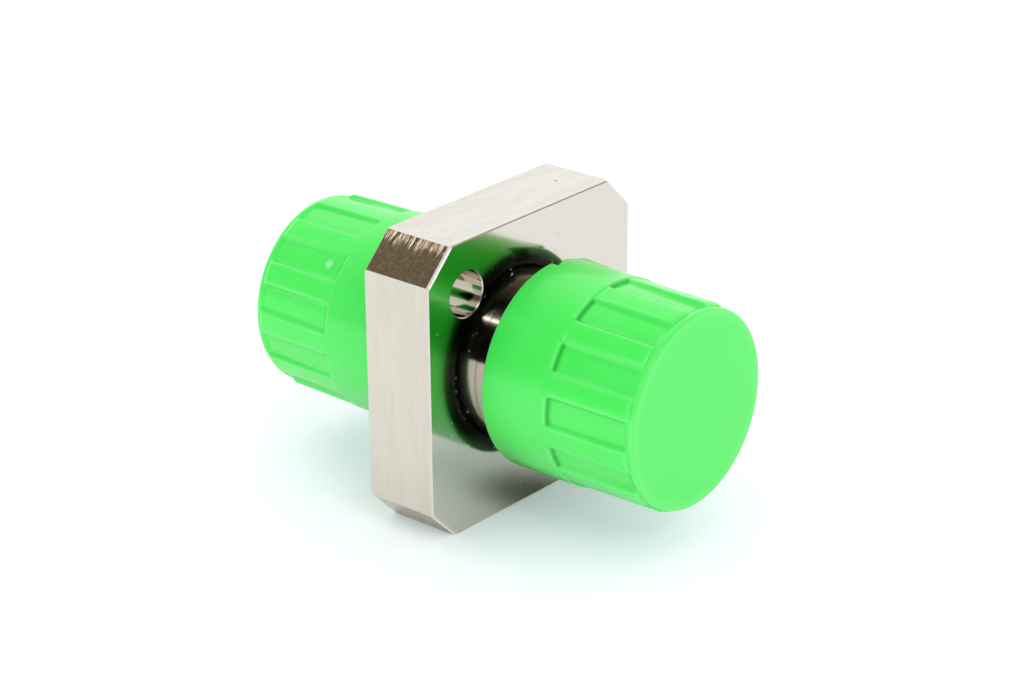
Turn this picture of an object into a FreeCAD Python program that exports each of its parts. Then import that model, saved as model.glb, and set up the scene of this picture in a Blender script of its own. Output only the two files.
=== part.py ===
import FreeCAD, Part
import os
import re
import Sketcher
from FreeCAD import Placement, Rotation, Vector

# A square-flange fibre coupler with a dust cap pushed onto each threaded barrel.
# X is the optical axis and Z is up. The origin is on the axis, in the middle of the flange's thickness.
# The coupler stands on the lower edge of its flange. All lengths are in millimetres, all angles in degrees.

SIZES = [
    ("flange_width", 14.0, "across the flats of the square flange"),
    ("flange_thickness", 3.8, "flange, face to face"),
    ("corner_chamfer", 1.5, "cut off each corner of the flange"),
    ("edge_break", 0.05, "small bevel along the straight edges of both flange faces"),
    ("corner_break", 0.13, "wider bevel where a cut corner meets a flange face"),
    ("hole_pitch", 12.7, "between the centres of the two diagonal screw holes"),
    ("hole_diameter", 2.15, "clearance hole for an M2 screw"),
    ("hole_rim", 0.045, "bevel at the mouth of a screw hole"),
    ("body_length", 19.6, "barrel end to barrel end"),
    ("neck_length", 1.5, "smooth neck between the flange and the thread"),
    ("barrel_wall", 1.5, "wall of the threaded barrel, to the thread's crest"),
    ("barrel_lead", 0.35, "bevel at the end of the thread"),
    ("thread_pitch", 0.75, "fine pitch of the M8 thread"),
    ("receptacle_depth", 3.6, "open bore at each end, down to the sleeve holder"),
    ("mouth_lead", 0.2, "bevel at the mouth of the open bore"),
    ("key_slot_width", 2.2, "slot for the plug's key"),
    ("key_slot_depth", 3.4, "length of the key slot along the axis"),
    ("sleeve_bore", 2.5, "inside of the split sleeve, around a ferrule"),
    ("sleeve_wall", 0.35, "wall of the split sleeve"),
    ("sleeve_slit", 0.5, "open slit along the sleeve"),
    ("sleeve_edge", 0.12, "bevel at the sleeve's ends"),
    ("sleeve_float", 0.1, "play around the sleeve"),
    ("sleeve_play", 0.1, "play at each end of the sleeve"),
    ("ferrule_play", 0.2, "between a ferrule and the lips that hold the sleeve in"),
    ("lip_thickness", 0.4, "lip at the front of the holder, and the ring at its rear"),
    ("holder_wall", 0.48, "wall of the sleeve holder"),
    ("ring_seat", 0.25, "how far the ring reaches into the holder's wall"),
    ("seat_gap", 0.02, "around each piece that is pressed into another"),
    ("open_ledge", 0.3, "how far the open bore is wider than the holder's bore, all round"),
    ("collar_ledge", 0.12, "how far the collar's seat is wider than the holder's bore, all round"),
    ("collar_thickness", 0.5, "collar at the rear of the holder"),
    ("spanner_slot_width", 0.5, "slot across the ring's face"),
    ("spanner_slot_depth", 0.2, "depth of that slot"),
    ("cap_rim_gap", 1.1, "between the flange and the cap's rim"),
    ("cap_end_gap", 0.45, "between the barrel's end and the inside of the cap's closed end"),
    ("cap_bore_gap", 0.03, "between the thread's crest and the cap's bore, all round"),
    ("cap_end_wall", 1.05, "thickness of the closed end"),
    ("cap_lead", 0.15, "bevel inside the cap's rim"),
    ("rim_round", 0.12, "rounding of the rim's outer edge"),
    ("skirt_length", 3.6, "smooth band of the cap"),
    ("skirt_wall", 0.85, "wall of the smooth band"),
    ("root_wall", 0.61, "wall under the grip recesses"),
    ("rib_height", 0.19, "grip rib above the recess floor"),
    ("rib_fall", 0.06, "drop of a rib's crest towards the closed end"),
    ("rib_stop", 0.75, "between the ribs' ends and the closed end"),
    ("rib_end_round", 0.12, "rounding of the ribs' ends"),
    ("end_fall", 0.14, "drop of the recess floor towards the closed end"),
    ("end_round", 0.25, "rounding around the closed end"),
    ("rib_count", 12, "grip ribs on a cap"),
    ("recess_angle", 15.4, "width of one grip recess"),
    ("gate_diameter", 0.5, "moulding gate mark in one recess"),
    ("gate_height", 0.12, "gate mark above the recess floor"),
    ("gate_offset", 0.9, "gate mark behind the smooth band"),
    ("lug_length", 2.0, "low wedge-shaped lug behind the rim, along the axis"),
    ("lug_width", 1.2, "lug, from its flush side to its proud side"),
    ("lug_height", 0.13, "lug above the smooth band, at its proud side by the rim"),
    ("lug_inset", 0.05, "between the rim and the lug"),
    ("lug_turn", 79.4, "flush side of the lug around the cap, from the gate mark"),
    ("nick_length", 0.45, "nick in the rim beside the lug, along the axis"),
    ("nick_width", 1.15, "nick, along the rim"),
    ("nick_depth", 0.4, "nick, into the wall"),
    ("nick_turn", 87.2, "nick around the cap, from the gate mark"),
    ("front_cap_turn", -93.4, "how the front cap was turned when it was pushed on"),
    ("rear_cap_turn", 46.8, "how the rear cap was turned when it was pushed on"),
]

# A 60 degree thread of pitch p has a crest flat of p/8, a root flat of p/4 and is 5/8 of its sharp height deep.
CREST_SHARE = "1 / 8"
ROOT_SHARE = "1 / 4"
DEPTH_SHARE = "5 / 8 * sqrt(3) / 2"

# How far a cutting profile reaches outside the material that it cuts.
OVERCUT = 1.0
THREAD_OVERCUT = 0.05
# How deep the root of a raised mark is sunk in the wall that carries it.
MARK_ROOT = 0.1
# Coordinates closer than this are the same.
NEAR = 1e-4

doc = FreeCAD.newDocument("fc_adapter")
sheet = doc.addObject("Spreadsheet::Sheet", "sizes")
for row, (name, number, meaning) in enumerate(SIZES, start=1):
    sheet.set(f"A{row}", name)
    sheet.set(f"B{row}", str(number))
    sheet.set(f"C{row}", meaning)
    sheet.setAlias(f"B{row}", name)
doc.recompute()

ALIASES = {name for name, number, meaning in SIZES}


def bound(text):
    """The expression with each size's name pointing at its cell."""
    return re.sub(r"[a-z_]+", lambda word: f"sizes.{word[0]}" if word[0] in ALIASES else word[0], text)


def value(text):
    """The number that an expression of sizes has now."""
    return float(sheet.evalExpression(bound(text)))


# Places along the axis, counted from the middle of the flange.
FACE = "(flange_thickness / 2)"
BARREL_END = "(body_length / 2)"
THREAD_START = f"({FACE} + neck_length)"
BORE_FLOOR = f"({BARREL_END} - receptacle_depth)"
LIP_FACE = f"({BORE_FLOOR} - lip_thickness)"
SLEEVE_END = f"({LIP_FACE} - sleeve_play)"
COLLAR_FACE = f"({BORE_FLOOR} - collar_thickness)"
RIM = f"({FACE} + cap_rim_gap)"
SKIRT_END = f"({RIM} + skirt_length)"
CAP_FLOOR = f"({BARREL_END} + cap_end_gap)"
CAP_END = f"({CAP_FLOOR} + cap_end_wall)"
RIB_END = f"({CAP_END} - rib_stop)"

# Radii, from the ferrule outwards.
SLEEVE_IN = "(sleeve_bore / 2)"
SLEEVE_OUT = f"({SLEEVE_IN} + sleeve_wall)"
LIP_IN = f"({SLEEVE_IN} + ferrule_play)"
HOLDER_IN = f"({SLEEVE_OUT} + sleeve_float)"
RING_BORE = f"({HOLDER_IN} + ring_seat)"
RING_OUT = f"({RING_BORE} - seat_gap)"
HOLDER_OUT = f"({HOLDER_IN} + holder_wall)"
WEB_BORE = f"({HOLDER_OUT} + seat_gap)"
OPEN_BORE = f"({WEB_BORE} + open_ledge)"
COLLAR_SEAT = f"({WEB_BORE} + collar_ledge)"
COLLAR_OUT = f"({COLLAR_SEAT} - seat_gap)"
CREST = f"({OPEN_BORE} + barrel_wall)"
CAP_IN = f"({CREST} + cap_bore_gap)"
SKIRT_OUT = f"({CAP_IN} + skirt_wall)"
RECESS_FLOOR = f"({CAP_IN} + root_wall)"
RIB_CREST = f"({RECESS_FLOOR} + rib_height)"
LUG_FOOT = f"(sqrt({SKIRT_OUT} ^ 2 - lug_width ^ 2))"


def floor_at(place):
    """Radius of the cap's tapered core at a place along the axis."""
    return f"({RECESS_FLOOR} - end_fall * ({place} - {SKIRT_END}) / ({CAP_END} - {SKIRT_END}))"


def origin_feature(body, role):
    """One of the body's own origin planes or axes."""
    return next(item for item in body.Origin.OriginFeatures if item.Role == role)


def sketch_on(body, name, plane):
    """An empty sketch flat on one of the body's own planes."""
    sketch = body.newObject("Sketcher::SketchObject", name)
    sketch.AttachmentSupport = [(origin_feature(body, plane), "")]
    sketch.MapMode = "FlatFace"
    return sketch


def pin_point(sketch, edge, point, across, up):
    """Ties one point of the sketch to two expressions of sizes."""
    for kind, text in (("DistanceX", across), ("DistanceY", up)):
        index = sketch.addConstraint(Sketcher.Constraint(kind, -1, 1, edge, point, value(text)))
        sketch.setExpression(f"Constraints[{index}]", bound(text))


def add_outline(sketch, corners):
    """A closed line through the corners, each given as two expressions of sizes."""
    spots = [Vector(value(across), value(up), 0) for across, up in corners]
    first = sketch.GeometryCount
    count = len(spots)
    for i in range(count):
        sketch.addGeometry(Part.LineSegment(spots[i], spots[(i + 1) % count]), False)
    for i in range(count):
        follower = first + (i + 1) % count
        sketch.addConstraint(Sketcher.Constraint("Coincident", first + i, 2, follower, 1))
    for i, (across, up) in enumerate(corners):
        pin_point(sketch, first + i, 1, across, up)


def add_circle(sketch, across, up, diameter):
    """A circle whose centre and diameter are expressions of sizes."""
    centre = Vector(value(across), value(up), 0)
    edge = sketch.addGeometry(Part.Circle(centre, Vector(0, 0, 1), value(diameter) / 2), False)
    pin_point(sketch, edge, 3, across, up)
    index = sketch.addConstraint(Sketcher.Constraint("Diameter", edge, value(diameter)))
    sketch.setExpression(f"Constraints[{index}]", bound(diameter))


def outline(body, name, plane, *loops):
    """A sketch of closed outlines."""
    sketch = sketch_on(body, name, plane)
    for corners in loops:
        add_outline(sketch, corners)
    return sketch


def turned(body, name, profile, kind="Revolution", angle=None):
    """Turns a profile about the optical axis, to add material or (kind Groove) to cut it."""
    feature = body.newObject(f"PartDesign::{kind}", name)
    feature.Profile = profile
    feature.ReferenceAxis = (origin_feature(body, "X_Axis"), [""])
    feature.Angle = 360
    if angle:
        feature.Midplane = True
        feature.setExpression("Angle", bound(angle))
    doc.recompute()
    return feature


def edges_where(feature, test):
    """Names of the feature's edges that pass a test."""
    return [f"Edge{i}" for i, edge in enumerate(feature.Shape.Edges, start=1) if test(edge)]


def is_ring(edge, place, radius):
    """True for a full circle about the optical axis at a place and radius."""
    box = edge.BoundBox
    thin = box.XLength < NEAR and abs(box.XMin - place) < NEAR
    return thin and abs(box.YMax - radius) < NEAR and abs(box.YMin + radius) < NEAR


def is_flat(edge):
    """True for an edge that lies square to the optical axis."""
    return edge.BoundBox.XLength < NEAR


def is_straight(edge):
    """True for an edge that is level or upright, seen along the optical axis."""
    return min(edge.BoundBox.YLength, edge.BoundBox.ZLength) < NEAR


def dressed(body, name, kind, base, edges, size):
    """A Fillet or Chamfer on edges of the last feature."""
    feature = body.newObject(f"PartDesign::{kind}", name)
    feature.Base = (base, edges)
    feature.setExpression("Radius" if kind == "Fillet" else "Size", bound(size))
    doc.recompute()
    return feature


def new_body(label):
    body = doc.addObject("PartDesign::Body", label)
    body.Label = label
    return body


def cuts(before, after):
    """Stops the build if a cut took nothing away."""
    if after.Shape.Volume >= before.Shape.Volume - NEAR:
        raise RuntimeError(f"{after.Label} cut nothing")


def make_adapter_body():
    """The coupler's body: one piece of turned and milled metal."""
    body = new_body("adapter_body")

    half = "(flange_width / 2)"
    inner = f"({half} - corner_chamfer)"
    signs = [(1, 1), (-1, 1), (-1, -1), (1, -1)]
    corners = []
    for i, (side, top) in enumerate(signs):
        flat = (f"{side} * {half}", f"{top} * {inner}")
        other = (f"{side} * {inner}", f"{top} * {half}")
        corners += [flat, other] if i % 2 == 0 else [other, flat]
    flange = body.newObject("PartDesign::Pad", "flange")
    flange.Profile = outline(body, "flange_outline", "YZ_Plane", corners)
    flange.Midplane = True
    flange.setExpression("Length", bound("flange_thickness"))
    doc.recompute()
    slanted = edges_where(flange, lambda edge: is_flat(edge) and not is_straight(edge))
    cornered = dressed(body, "flange_corners", "Chamfer", flange, slanted, "corner_break")
    straight = edges_where(cornered, lambda edge: is_flat(edge) and is_straight(edge))
    dressed(body, "flange_edges", "Chamfer", cornered, straight, "edge_break")

    lead = f"({CREST} - barrel_lead)"
    barrel_outline = outline(body, "barrel_outline", "XZ_Plane", [
        (f"-{BARREL_END}", "0"),
        (f"-{BARREL_END}", lead),
        (f"-({BARREL_END} - barrel_lead)", CREST),
        (f"{BARREL_END} - barrel_lead", CREST),
        (BARREL_END, lead),
        (BARREL_END, "0"),
    ])
    last = turned(body, "barrels", barrel_outline)

    # Each thread is cut from outside the barrel's end inwards, and stops at the smooth neck.
    for side, name in ((1, "front_thread"), (-1, "rear_thread")):
        start = f"({BARREL_END} + thread_pitch)"
        wide = f"(thread_pitch * (1 - {CREST_SHARE}) / 2 + {THREAD_OVERCUT} / sqrt(3))"
        narrow = f"(thread_pitch * {ROOT_SHARE} / 2)"
        top = f"({CREST} + {THREAD_OVERCUT})"
        bottom = f"({CREST} - thread_pitch * {DEPTH_SHARE})"
        groove = outline(body, f"{name}_section", "XZ_Plane", [
            (f"{side} * ({start} - {wide})", top),
            (f"{side} * ({start} + {wide})", top),
            (f"{side} * ({start} + {narrow})", bottom),
            (f"{side} * ({start} - {narrow})", bottom),
        ])
        thread = body.newObject("PartDesign::SubtractiveHelix", name)
        thread.Profile = groove
        thread.ReferenceAxis = (origin_feature(body, "X_Axis"), [""])
        thread.Mode = 0
        thread.setExpression("Pitch", bound("thread_pitch"))
        thread.setExpression("Height", bound(f"{start} - {THREAD_START}"))
        thread.LeftHanded = False
        thread.Reversed = side > 0
        doc.recompute()
        cuts(last, thread)
        last = thread

    bore_outline = outline(body, "bore_outline", "XZ_Plane", [
        (f"-{BARREL_END}", "0"),
        (f"-{BARREL_END}", f"{OPEN_BORE} + mouth_lead"),
        (f"-({BARREL_END} - mouth_lead)", OPEN_BORE),
        (f"-{BORE_FLOOR}", OPEN_BORE),
        (f"-{BORE_FLOOR}", COLLAR_SEAT),
        (f"-{COLLAR_FACE}", COLLAR_SEAT),
        (f"-{COLLAR_FACE}", WEB_BORE),
        (BORE_FLOOR, WEB_BORE),
        (BORE_FLOOR, OPEN_BORE),
        (f"{BARREL_END} - mouth_lead", OPEN_BORE),
        (BARREL_END, f"{OPEN_BORE} + mouth_lead"),
        (BARREL_END, "0"),
    ])
    bores = turned(body, "bores", bore_outline, "Groove")
    cuts(last, bores)

    offset = "(hole_pitch / 2 / sqrt(2))"
    hole_sketch = sketch_on(body, "hole_places", "YZ_Plane")
    add_circle(hole_sketch, f"-{offset}", offset, "hole_diameter")
    add_circle(hole_sketch, offset, f"-{offset}", "hole_diameter")
    holes = body.newObject("PartDesign::Pocket", "screw_holes")
    holes.Profile = hole_sketch
    holes.Midplane = True
    holes.setExpression("Length", bound(f"flange_thickness + {OVERCUT}"))
    doc.recompute()
    cuts(bores, holes)
    radius = value("hole_diameter") / 2
    mouths = edges_where(holes, lambda edge: edge.Curve.TypeId == "Part::GeomCircle"
                         and abs(edge.Curve.Radius - radius) < NEAR and edge.BoundBox.XLength < NEAR)
    rims = dressed(body, "hole_rims", "Chamfer", holes, mouths, "hole_rim")

    inward = f"({BARREL_END} - key_slot_depth)"
    beyond = f"({BARREL_END} + {OVERCUT})"
    slot_outlines = []
    for side in (1, -1):
        slot_outlines.append([
            (f"{side} * {inward}", "-key_slot_width / 2"),
            (f"{side} * {beyond}", "-key_slot_width / 2"),
            (f"{side} * {beyond}", "key_slot_width / 2"),
            (f"{side} * {inward}", "key_slot_width / 2"),
        ])
    slots = body.newObject("PartDesign::Pocket", "key_slots")
    slots.Profile = outline(body, "key_slot_outlines", "XY_Plane", *slot_outlines)
    slots.Reversed = True
    slots.setExpression("Length", bound(f"{CREST} + {OVERCUT}"))
    doc.recompute()
    cuts(rims, slots)
    return body


def make_sleeve_holder():
    """Turned tube, with a lip at its front end and a collar and the ring's seat at its rear end."""
    body = new_body("sleeve_holder")
    section = outline(body, "holder_section", "XZ_Plane", [
        (f"-{BORE_FLOOR}", RING_BORE),
        (f"-{BORE_FLOOR}", COLLAR_OUT),
        (f"-{COLLAR_FACE}", COLLAR_OUT),
        (f"-{COLLAR_FACE}", HOLDER_OUT),
        (BORE_FLOOR, HOLDER_OUT),
        (BORE_FLOOR, LIP_IN),
        (LIP_FACE, LIP_IN),
        (LIP_FACE, HOLDER_IN),
        (f"-{LIP_FACE}", HOLDER_IN),
        (f"-{LIP_FACE}", RING_BORE),
    ])
    turned(body, "holder_turning", section)
    return body


def make_alignment_sleeve():
    """Ceramic tube with a slit along it, which closes round both ferrules."""
    body = new_body("alignment_sleeve")
    section = outline(body, "sleeve_section", "XZ_Plane", [
        (f"-{SLEEVE_END}", f"{SLEEVE_IN} + sleeve_edge"),
        (f"-{SLEEVE_END}", SLEEVE_OUT),
        (SLEEVE_END, SLEEVE_OUT),
        (SLEEVE_END, f"{SLEEVE_IN} + sleeve_edge"),
        (f"{SLEEVE_END} - sleeve_edge", SLEEVE_IN),
        (f"-({SLEEVE_END} - sleeve_edge)", SLEEVE_IN),
    ])
    tube = turned(body, "sleeve_tube", section)
    slit = body.newObject("PartDesign::Pocket", "slit")
    slit.Profile = outline(body, "slit_outline", "XY_Plane", [
        (f"-({SLEEVE_END} + {OVERCUT})", "-sleeve_slit / 2"),
        (f"{SLEEVE_END} + {OVERCUT}", "-sleeve_slit / 2"),
        (f"{SLEEVE_END} + {OVERCUT}", "sleeve_slit / 2"),
        (f"-({SLEEVE_END} + {OVERCUT})", "sleeve_slit / 2"),
    ])
    slit.setExpression("Length", bound(f"{SLEEVE_OUT} + {OVERCUT}"))
    doc.recompute()
    cuts(tube, slit)
    return body


def make_retaining_ring():
    """Flat ring that closes the rear end of the holder, slotted across its face for a spanner."""
    body = new_body("sleeve_retaining_ring")
    section = outline(body, "ring_section", "XZ_Plane", [
        (f"-{BORE_FLOOR}", LIP_IN),
        (f"-{BORE_FLOOR}", RING_OUT),
        (f"-{LIP_FACE}", RING_OUT),
        (f"-{LIP_FACE}", LIP_IN),
    ])
    ring = turned(body, "ring_turning", section)
    slots = body.newObject("PartDesign::Pocket", "spanner_slots")
    slots.Profile = outline(body, "spanner_outline", "XY_Plane", [
        (f"-({BORE_FLOOR} + {OVERCUT})", "-spanner_slot_width / 2"),
        (f"-({BORE_FLOOR} - spanner_slot_depth)", "-spanner_slot_width / 2"),
        (f"-({BORE_FLOOR} - spanner_slot_depth)", "spanner_slot_width / 2"),
        (f"-({BORE_FLOOR} + {OVERCUT})", "spanner_slot_width / 2"),
    ])
    slots.Midplane = True
    slots.setExpression("Length", bound(f"2 * ({RING_OUT} + {OVERCUT})"))
    doc.recompute()
    cuts(ring, slots)
    return body


def turn_about_axis(profile, turn, radius="0"):
    """Turns a sketch about the optical axis from the top, and moves it outwards to a radius."""
    profile.AttachmentOffset = Placement(Vector(), Rotation(Vector(1, 0, 0), 1))
    profile.setExpression("AttachmentOffset.Rotation.Angle", bound(turn))
    profile.setExpression("AttachmentOffset.Base.y", bound(f"-({radius}) * sin({turn})"))
    profile.setExpression("AttachmentOffset.Base.z", bound(f"({radius}) * cos({turn})"))


def extruded(body, name, kind, profile, length, backwards):
    """A Pad or Pocket of a length, the usual way or backwards."""
    feature = body.newObject(f"PartDesign::{kind}", name)
    feature.Profile = profile
    feature.Reversed = backwards
    feature.setExpression("Length", bound(length))
    doc.recompute()
    return feature


def make_dust_cap(label):
    """Soft moulded cap, made facing the front with its gate mark on top."""
    body = new_body(label)
    shoulder = f"({RIB_END} + {RIB_CREST} - rib_fall - {floor_at(RIB_END)})"
    shell_outline = outline(body, f"{label}_outline", "XZ_Plane", [
        (RIM, f"{CAP_IN} + cap_lead"),
        (RIM, SKIRT_OUT),
        (SKIRT_END, SKIRT_OUT),
        (f"{SKIRT_END} + {SKIRT_OUT} - {RIB_CREST}", RIB_CREST),
        (RIB_END, f"{RIB_CREST} - rib_fall"),
        (shoulder, floor_at(shoulder)),
        (CAP_END, floor_at(CAP_END)),
        (CAP_END, "0"),
        (CAP_FLOOR, "0"),
        (CAP_FLOOR, CAP_IN),
        (f"{RIM} + cap_lead", CAP_IN),
    ])
    shell = turned(body, f"{label}_shell", shell_outline)

    def ring_at(place, radius):
        spot, reach = value(place), value(radius)
        return edges_where(body.Tip, lambda edge: is_ring(edge, spot, reach))

    rim = dressed(body, f"{label}_rim", "Fillet", shell, ring_at(RIM, SKIRT_OUT), "rim_round")
    end = dressed(body, f"{label}_end", "Fillet", rim, ring_at(CAP_END, floor_at(CAP_END)), "end_round")
    ribs = ring_at(RIB_END, f"{RIB_CREST} - rib_fall")
    rounded = dressed(body, f"{label}_rib_ends", "Fillet", end, ribs, "rib_end_round")

    recess_outline = outline(body, f"{label}_recess_outline", "XZ_Plane", [
        (SKIRT_END, RECESS_FLOOR),
        (SKIRT_END, f"{SKIRT_OUT} + {OVERCUT}"),
        (shoulder, f"{SKIRT_OUT} + {OVERCUT}"),
        (shoulder, floor_at(shoulder)),
    ])
    recess = turned(body, f"{label}_recess", recess_outline, "Groove", "recess_angle")
    cuts(rounded, recess)
    recesses = body.newObject("PartDesign::PolarPattern", f"{label}_recesses")
    recesses.Originals = [recess]
    recesses.Axis = (origin_feature(body, "X_Axis"), [""])
    recesses.Angle = 360
    recesses.setExpression("Occurrences", bound("rib_count"))
    body.Tip = recesses
    doc.recompute()
    cuts(recess, recesses)

    gate_place = f"({SKIRT_END} + gate_offset)"
    gate_outline = sketch_on(body, f"{label}_gate_outline", "XY_Plane")
    add_circle(gate_outline, gate_place, "0", "gate_diameter")
    turn_about_axis(gate_outline, "0", f"{floor_at(gate_place)} - {MARK_ROOT}")
    extruded(body, f"{label}_gate_mark", "Pad", gate_outline, f"gate_height + {MARK_ROOT}", False)

    # The lug's flat top leaves the round band at the flush side and sinks into it away from the rim.
    lug_start = f"({RIM} + lug_inset)"
    lug_outline = outline(body, f"{label}_lug_outline", "XZ_Plane", [
        (lug_start, f"{LUG_FOOT} - {MARK_ROOT}"),
        (lug_start, f"{LUG_FOOT} + lug_height"),
        (f"{lug_start} + lug_length * (1 + {MARK_ROOT} / lug_height)", f"{LUG_FOOT} - {MARK_ROOT}"),
    ])
    turn_about_axis(lug_outline, "lug_turn")
    lug = extruded(body, f"{label}_lug", "Pad", lug_outline, "lug_width", True)

    nick_outline = outline(body, f"{label}_nick_outline", "XY_Plane", [
        (f"{RIM} - {OVERCUT}", "-nick_width / 2"),
        (f"{RIM} + nick_length", "-nick_width / 2"),
        (RIM, "nick_width / 2"),
        (f"{RIM} - {OVERCUT}", "nick_width / 2"),
    ])
    turn_about_axis(nick_outline, "nick_turn", f"{SKIRT_OUT} - nick_depth")
    nick = extruded(body, f"{label}_nick", "Pocket", nick_outline, f"nick_depth + {OVERCUT}", True)
    cuts(lug, nick)
    return body


adapter_body = make_adapter_body()
sleeve_holder = make_sleeve_holder()
alignment_sleeve = make_alignment_sleeve()
retaining_ring = make_retaining_ring()
front_cap = make_dust_cap("dust_cap_front")
rear_cap = make_dust_cap("dust_cap_rear")

# Both caps are the same moulding. The rear one is turned end for end about the upright axis.
AXIS = Vector(1, 0, 0)
UPRIGHT = Vector(0, 0, 1)
front_cap.Placement = Placement(Vector(), Rotation(AXIS, value("front_cap_turn")))
about_face = Rotation(AXIS, value("rear_cap_turn")).multiply(Rotation(UPRIGHT, 180))
rear_cap.Placement = Placement(Vector(), about_face)
doc.recompute()

for item in doc.Objects:
    if "Invalid" in item.State or "Error" in item.State:
        raise RuntimeError(f"{item.Name} failed: {item.State}")

pieces = [adapter_body, sleeve_holder, alignment_sleeve, retaining_ring, front_cap, rear_cap]
for piece in pieces:
    if piece.Shape.isNull() or not piece.Shape.isValid() or len(piece.Shape.Solids) != 1:
        raise RuntimeError(f"{piece.Label} is not one valid solid")

os.makedirs("parts", exist_ok=True)
for piece in pieces:
    piece.Shape.exportStep(f"parts/{piece.Label}.step")
    box = piece.Shape.BoundBox
    print(f"{piece.Label}: {piece.Shape.Volume:.2f} mm3, x {box.XMin:.2f} to {box.XMax:.2f},"
          f" y {box.YMin:.2f} to {box.YMax:.2f}, z {box.ZMin:.2f} to {box.ZMax:.2f}")
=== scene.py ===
# %% [markdown]
# # A fibre coupler with two green dust caps
# The object joins two optical plugs end to end. A square plated flange carries a threaded barrel on each
# side, a ceramic sleeve lies inside, and a soft green cap is pushed onto each barrel. The milled and
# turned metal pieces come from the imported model, because their faces are already exact there and only
# need a finish. The two caps are modelled in this file, because a soft moulding has small rounded edges
# everywhere, and those rounds are what makes it look moulded.

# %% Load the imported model
import bpy
import numpy as np
from mathutils import Matrix, Vector


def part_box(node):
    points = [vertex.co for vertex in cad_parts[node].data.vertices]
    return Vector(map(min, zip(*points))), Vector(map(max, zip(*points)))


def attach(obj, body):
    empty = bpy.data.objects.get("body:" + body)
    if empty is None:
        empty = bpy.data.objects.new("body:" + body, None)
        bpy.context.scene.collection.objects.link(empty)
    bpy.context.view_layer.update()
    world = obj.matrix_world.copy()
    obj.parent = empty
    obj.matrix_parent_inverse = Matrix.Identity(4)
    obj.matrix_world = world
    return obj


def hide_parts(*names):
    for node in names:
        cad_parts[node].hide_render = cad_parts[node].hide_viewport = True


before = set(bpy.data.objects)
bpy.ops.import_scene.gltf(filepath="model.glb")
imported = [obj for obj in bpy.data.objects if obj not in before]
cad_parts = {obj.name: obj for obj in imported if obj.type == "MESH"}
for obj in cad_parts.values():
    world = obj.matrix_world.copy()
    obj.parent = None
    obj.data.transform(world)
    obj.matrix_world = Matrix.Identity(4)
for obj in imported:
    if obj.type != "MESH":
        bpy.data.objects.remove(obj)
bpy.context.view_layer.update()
scene = bpy.context.scene
MM = 0.001
print("pieces:", ", ".join(sorted(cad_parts)))

# %% [markdown]
# ## The camera
# The corners of the flange and the round edges of the caps were matched to a photograph of 1024 by 683
# pixels. That gives the direction that the camera looks from, its distance and its lens. Blender's camera
# looks along its own -Z axis, so the three columns of its matrix are the directions right, up and back.

# %% Place the camera
PHOTO_WIDTH_PX = 1024
FOCAL_PX = 2839.8
SENSOR_MM = 36.0
AZIMUTH, ELEVATION, ROLL = np.radians([40.602, 23.141, -0.518])
DISTANCE_MM = 130.89
ASIDE_MM = 0.4976
ABOVE_MM = 0.2068
NEAREST_MM = 5

back = np.array([
    np.sin(AZIMUTH) * np.cos(ELEVATION),
    -np.cos(AZIMUTH) * np.cos(ELEVATION),
    np.sin(ELEVATION),
])
level = np.array([np.cos(AZIMUTH), np.sin(AZIMUTH), 0.0])
upright = np.cross(back, level)
right = np.cos(ROLL) * level + np.sin(ROLL) * upright
up = np.cos(ROLL) * upright - np.sin(ROLL) * level
eye = (ASIDE_MM * right + ABOVE_MM * up + DISTANCE_MM * back) * MM

camera = bpy.data.objects.new("camera", bpy.data.cameras.new("camera"))
camera.data.sensor_width = SENSOR_MM
camera.data.lens = FOCAL_PX * SENSOR_MM / PHOTO_WIDTH_PX
camera.data.clip_start = NEAREST_MM * MM
camera.matrix_world = Matrix(np.vstack([np.column_stack([right, up, back, eye]), [0, 0, 0, 1]]).tolist())
scene.collection.objects.link(camera)
scene.camera = camera
scene.view_settings.view_transform = "Standard"
print(f"lens {camera.data.lens:.1f} mm, {np.linalg.norm(eye) / MM:.0f} mm away")

# %% [markdown]
# ## Small helpers for shader nodes
# A node tree is built from nodes and links. Three helpers keep that short: one plugs a value or a link
# into a socket, one adds a node with its settings and inputs, and one adds a Math node.

# %% Helpers for shader nodes
def plug(tree, socket, value):
    """Links an output to the socket, or writes a plain value into it."""
    if isinstance(value, bpy.types.NodeSocket):
        tree.links.new(value, socket)
    else:
        socket.default_value = value


def add_node(tree, kind, settings=None, **inputs):
    """A shader node. Each input is named after its socket, with _ for a space."""
    node = tree.nodes.new("ShaderNode" + kind)
    for name, value in (settings or {}).items():
        setattr(node, name, value)
    for name, value in inputs.items():
        plug(tree, node.inputs[name.replace("_", " ")], value)
    return node


def calc(tree, operation, *values):
    """The output of one Math node."""
    node = add_node(tree, "Math", {"operation": operation})
    for socket, value in zip(node.inputs, values):
        plug(tree, socket, value)
    return node.outputs[0]


def ramp(tree, value, start, end, low=0.0, high=1.0):
    """Runs smoothly from low to high as the value goes from start to end."""
    node = add_node(tree, "MapRange", {"interpolation_type": "SMOOTHSTEP"}, Value=value)
    for socket, number in zip(("From Min", "From Max", "To Min", "To Max"), (start, end, low, high)):
        plug(tree, node.inputs[socket], number)
    return node.outputs[0]


def blend(tree, factor, first, second, kind="MIX"):
    """The first colour, going over to the second as the factor goes from 0 to 1."""
    node = tree.nodes.new("ShaderNodeMix")
    node.data_type = "RGBA"
    node.blend_type = kind
    for index, value in ((0, factor), (6, first), (7, second)):
        plug(tree, node.inputs[index], value)
    return node.outputs[2]


def colour_scale(tree, value, stops):
    """A colour for each value from 0 to 1, through stops of (value, colour)."""
    node = add_node(tree, "ValToRGB", Fac=value)
    for _ in stops[2:]:
        node.color_ramp.elements.new(0.5)
    for element, (place, colour) in zip(node.color_ramp.elements, stops):
        element.position = place
        element.color = (*colour, 1)
    return node.outputs[0]


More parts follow.
